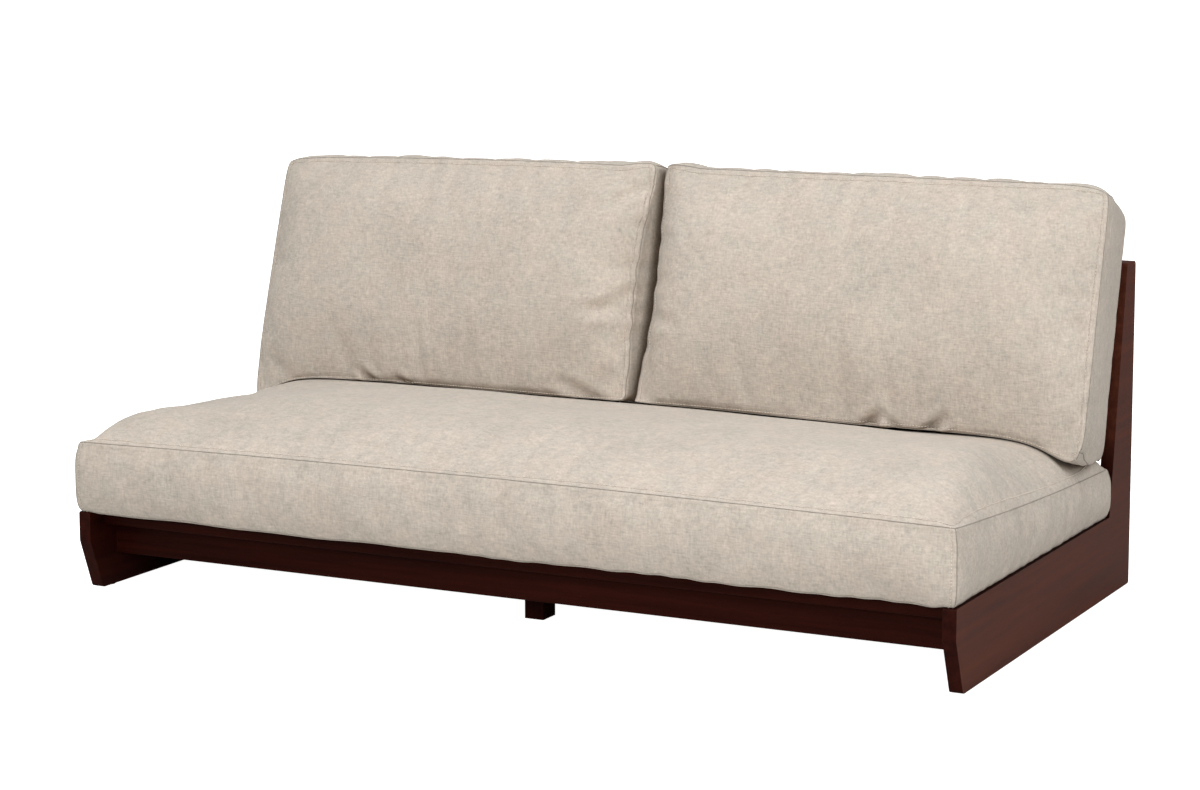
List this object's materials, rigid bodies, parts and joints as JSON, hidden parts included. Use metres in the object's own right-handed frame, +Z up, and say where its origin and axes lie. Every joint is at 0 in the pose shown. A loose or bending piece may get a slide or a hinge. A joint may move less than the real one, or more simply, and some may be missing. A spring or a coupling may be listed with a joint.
{
  "type": "armless sofa",
  "caption": "Armless sofa with a dark stained wooden frame, slatted deck and leaning slatted back, a full-width boxed seat cushion and loose back cushions.",
  "frame": {"origin": "on the floor, under the middle of the whole sofa's box", "axes": "+X runs along the sofa, to the right as seen from the front, the front faces -Y, +Z is up"},
  "size_m": [1.8144, 0.9875, 0.8055],
  "materials": {
    "stained_wood": "satin",
    "plain_wood": "matte",
    "steel": "satin",
    "glide": "matte",
    "cover_fabric": "matte",
    "foam": "matte"
  },
  "bodies": {
    "frame": {"side_panel_left": "stained_wood", "side_panel_right": "stained_wood", "deck_front_rail": "stained_wood", "front_apron": "stained_wood", "rear_seat_rail": "stained_wood", "centre_bearer": "stained_wood", "centre_leg_front": "stained_wood", "centre_leg_rear": "stained_wood", "back_bottom_rail": "stained_wood", "back_top_rail": "stained_wood", "back_centre_stile": "stained_wood", "back_slat_left_1": "stained_wood", "back_slat_left_2": "stained_wood", "back_slat_left_3": "stained_wood", "back_slat_left_4": "stained_wood", "back_slat_left_5": "stained_wood", "back_slat_left_6": "stained_wood", "back_slat_right_1": "stained_wood", "back_slat_right_2": "stained_wood", "back_slat_right_3": "stained_wood", "back_slat_right_4": "stained_wood", "back_slat_right_5": "stained_wood", "back_slat_right_6": "stained_wood", "side_ledger_left": "plain_wood", "side_ledger_right": "plain_wood", "rail_dowels": "plain_wood", "deck_slat_left_1": "plain_wood", "deck_slat_left_2": "plain_wood", "deck_slat_left_3": "plain_wood", "deck_slat_left_4": "plain_wood", "deck_slat_left_5": "plain_wood", "deck_slat_left_6": "plain_wood", "deck_slat_left_7": "plain_wood", "deck_slat_right_1": "plain_wood", "deck_slat_right_2": "plain_wood", "deck_slat_right_3": "plain_wood", "deck_slat_right_4": "plain_wood", "deck_slat_right_5": "plain_wood", "deck_slat_right_6": "plain_wood", "deck_slat_right_7": "plain_wood", "corner_brackets": "steel", "bracket_screws": "steel", "ledger_screws": "steel", "slat_screws": "steel", "leg_bolts": "steel", "floor_glides": "glide"},
    "seat": {"seat_cushion": "cover_fabric", "seat_foam_core": "foam"},
    "left_back_cushion": {"back_cushion_left": "cover_fabric", "back_foam_core_left": "foam"},
    "right_back_cushion": {"back_cushion_right": "cover_fabric", "back_foam_core_right": "foam"}
  },
  "joints": [
    {"name": "seat_lift", "type": "slide", "parent": "frame", "child": "seat", "axis": [0, 0, 1], "range_m": [0, 0.5]},
    {"name": "left_back_lift", "type": "slide", "parent": "seat", "child": "left_back_cushion", "axis": [0, 0.165, 0.9863], "range_m": [0, 0.42]},
    {"name": "right_back_lift", "type": "slide", "parent": "seat", "child": "right_back_cushion", "axis": [0, 0.165, 0.9863], "range_m": [0, 0.42]}
  ]
}
